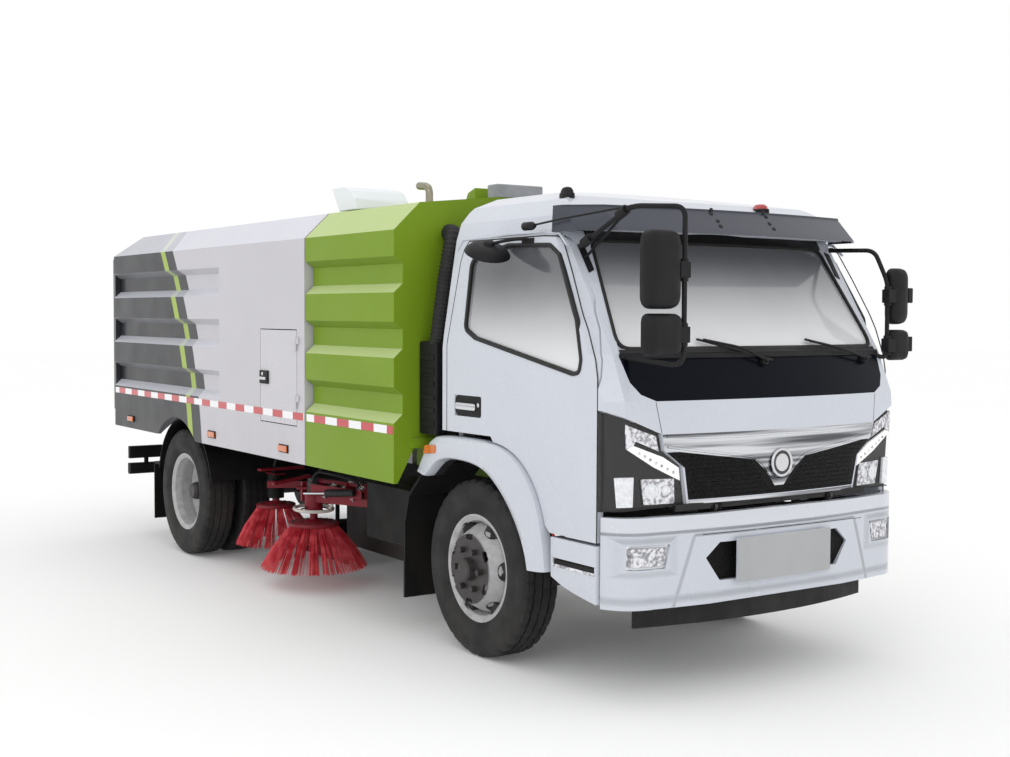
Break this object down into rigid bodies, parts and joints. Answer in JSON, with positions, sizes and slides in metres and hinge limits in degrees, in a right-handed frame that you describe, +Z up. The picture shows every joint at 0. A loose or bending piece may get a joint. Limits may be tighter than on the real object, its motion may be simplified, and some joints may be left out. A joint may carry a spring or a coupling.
{
  "type": "street sweeper truck",
  "caption": "Two-axle street sweeper truck with a tilting cab, a tipping debris hopper, a side hatch, a suction nozzle and swinging side brooms under its body.",
  "frame": {"origin": "on the ground under the middle of the truck's overall length and width", "axes": "+X forward along the truck, +Y to its left, +Z up"},
  "size_m": [6.746, 2.3772, 2.58],
  "materials": {
    "white_paint": "semi-gloss",
    "green_paint": "semi-gloss",
    "black_paint": "satin",
    "red_paint": "satin",
    "rim_paint": "satin",
    "grey_metal": "brushed",
    "cast_grey": "rough",
    "rod_chrome": "polished",
    "trim_chrome": "polished",
    "black_plastic": "matte",
    "cowl_plastic": "gloss",
    "visor_plastic": "gloss",
    "lamp_clear": "clear",
    "rubber_black": "matte",
    "tyre": "matte",
    "glass": "polished",
    "seat_fabric": "woven",
    "bristle_red": "matte"
  },
  "bodies": {
    "chassis": {"frame_rails": "black_paint", "front_axle_beam": "cast_grey", "leaf_springs": "black_paint", "rear_axle": "cast_grey", "drive_shaft": "grey_metal", "engines": "cast_grey", "fuel_tank": "grey_metal", "battery_box": "black_plastic", "front_bumper": "white_paint", "bumper_valance": "black_plastic", "fog_lamps": "lamp_clear", "step_panels": "white_paint", "mudguards": "black_plastic", "rear_underrun": "black_paint", "compartment": "green_paint", "roof_hood": "white_paint", "exhaust_elbow": "trim_chrome", "intake_stack": "rubber_black", "suction_nozzle": "black_paint", "broom_hangers": "red_paint"},
    "hopper": {"hopper_shell": "white_paint"},
    "tailgate": {"tailgate": "white_paint"},
    "side_hatch": {"side_hatch": "white_paint"},
    "tip_barrel": {"tip_barrel": "black_paint"},
    "tip_rod": {"tip_rod": "rod_chrome"},
    "cab": {"cab_shell": "white_paint", "cab_glass": "glass", "grille": "black_plastic", "chrome_trim": "trim_chrome", "headlights": "lamp_clear", "cowl_panel": "cowl_plastic", "sun_visor": "visor_plastic", "mirrors": "black_plastic", "seats": "seat_fabric", "dashboard": "black_plastic", "steering_wheel": "black_plastic", "front_fenders": "white_paint"},
    "door_left": {"door_left": "white_paint", "door_glass_left": "glass"},
    "door_right": {"door_right": "white_paint", "door_glass_right": "glass"},
    "knuckle_left": {"knuckle_left": "cast_grey"},
    "knuckle_right": {"knuckle_right": "cast_grey"},
    "wheel_front_left": {"front_tyre_left": "tyre", "front_rim_left": "rim_paint"},
    "wheel_front_right": {"front_tyre_right": "tyre", "front_rim_right": "rim_paint"},
    "wheel_rear_left": {"rear_tyres_left": "tyre", "rear_rims_left": "rim_paint"},
    "wheel_rear_right": {"rear_tyres_right": "tyre", "rear_rims_right": "rim_paint"},
    "broom_arm_left": {"broom_arm_left": "red_paint"},
    "broom_arm_right": {"broom_arm_right": "red_paint"},
    "broom_front_left": {"broom_front_left": "bristle_red"},
    "broom_front_right": {"broom_front_right": "bristle_red"},
    "broom_rear_left": {"broom_rear_left": "bristle_red"},
    "broom_rear_right": {"broom_rear_right": "bristle_red"}
  },
  "joints": [
    {"name": "cab_tilt", "type": "hinge", "parent": "chassis", "child": "cab", "pos_m": [3.13, 0, 0.905], "axis": [0, 1, 0], "range_deg": [0, 42]},
    {"name": "door_left_swing", "type": "hinge", "parent": "cab", "child": "door_left", "pos_m": [2.969, 0.972, 1.4], "axis": [0, 0, -1], "range_deg": [0, 70]},
    {"name": "door_right_swing", "type": "hinge", "parent": "cab", "child": "door_right", "pos_m": [2.969, -0.972, 1.4], "axis": [0, 0, 1], "range_deg": [0, 70]},
    {"name": "steer_left", "type": "hinge", "parent": "chassis", "child": "knuckle_left", "pos_m": [1.895, 0.7, 0.47], "axis": [0, 0, 1], "range_deg": [-33, 33]},
    {"name": "steer_right", "type": "hinge", "parent": "chassis", "child": "knuckle_right", "pos_m": [1.895, -0.7, 0.47], "axis": [0, 0, 1], "range_deg": [-33, 33]},
    {"name": "spin_front_left", "type": "hinge", "parent": "knuckle_left", "child": "wheel_front_left", "pos_m": [1.895, 0.84, 0.47], "axis": [0, 1, 0], "continuous": true},
    {"name": "spin_front_right", "type": "hinge", "parent": "knuckle_right", "child": "wheel_front_right", "pos_m": [1.895, -0.84, 0.47], "axis": [0, 1, 0], "continuous": true},
    {"name": "spin_rear_left", "type": "hinge", "parent": "chassis", "child": "wheel_rear_left", "pos_m": [-1.905, 0.845, 0.47], "axis": [0, 1, 0], "continuous": true},
    {"name": "spin_rear_right", "type": "hinge", "parent": "chassis", "child": "wheel_rear_right", "pos_m": [-1.905, -0.845, 0.47], "axis": [0, 1, 0], "continuous": true},
    {"name": "hopper_tip", "type": "hinge", "parent": "chassis", "child": "hopper", "pos_m": [-3.105, 0, 0.905], "axis": [0, -1, 0], "range_deg": [0, 48]},
    {"name": "tailgate_lift", "type": "hinge", "parent": "hopper", "child": "tailgate", "pos_m": [-3.31, 0, 2.258], "axis": [0, 1, 0], "range_deg": [0, 90]},
    {"name": "side_hatch_swing", "type": "hinge", "parent": "hopper", "child": "side_hatch", "pos_m": [0.176, -1.158, 1.408], "axis": [0, 0, 1], "range_deg": [0, 100]},
    {"name": "tip_barrel_pivot", "type": "hinge", "parent": "chassis", "child": "tip_barrel", "pos_m": [-2.175, 0, 0.735], "axis": [0, -1, 0], "range_deg": [0, 63.57]},
    {"name": "tip_rod_slide", "type": "slide", "parent": "tip_barrel", "child": "tip_rod", "axis": [0.9866, 0, 0.1633], "range_m": [0, 0.6094]},
    {"name": "broom_arm_left_swing", "type": "hinge", "parent": "chassis", "child": "broom_arm_left", "pos_m": [0.275, 0.54, 0.585], "axis": [0, 0, -1], "range_deg": [0, 25]},
    {"name": "broom_arm_right_swing", "type": "hinge", "parent": "chassis", "child": "broom_arm_right", "pos_m": [0.275, -0.54, 0.585], "axis": [0, 0, 1], "range_deg": [0, 25]},
    {"name": "spin_broom_front_left", "type": "hinge", "parent": "broom_arm_left", "child": "broom_front_left", "pos_m": [-0.305, 0.8, 0.45], "axis": [0, 0, 1], "continuous": true},
    {"name": "spin_broom_rear_left", "type": "hinge", "parent": "chassis", "child": "broom_rear_left", "pos_m": [-1.055, 0.73, 0.45], "axis": [0, 0, 1], "continuous": true},
    {"name": "spin_broom_front_right", "type": "hinge", "parent": "broom_arm_right", "child": "broom_front_right", "pos_m": [-0.305, -0.8, 0.45], "axis": [0, 0, 1], "continuous": true},
    {"name": "spin_broom_rear_right", "type": "hinge", "parent": "chassis", "child": "broom_rear_right", "pos_m": [-1.055, -0.73, 0.45], "axis": [0, 0, 1], "continuous": true}
  ],
  "couplings": [
    {"joint": "steer_right", "follows": "steer_left", "ratio": 1},
    {"joint": "tip_barrel_pivot", "follows": "hopper_tip", "ratio": 1.314},
    {"joint": "tip_rod_slide", "follows": "hopper_tip", "m_per_rad": 0.72264}
  ]
}
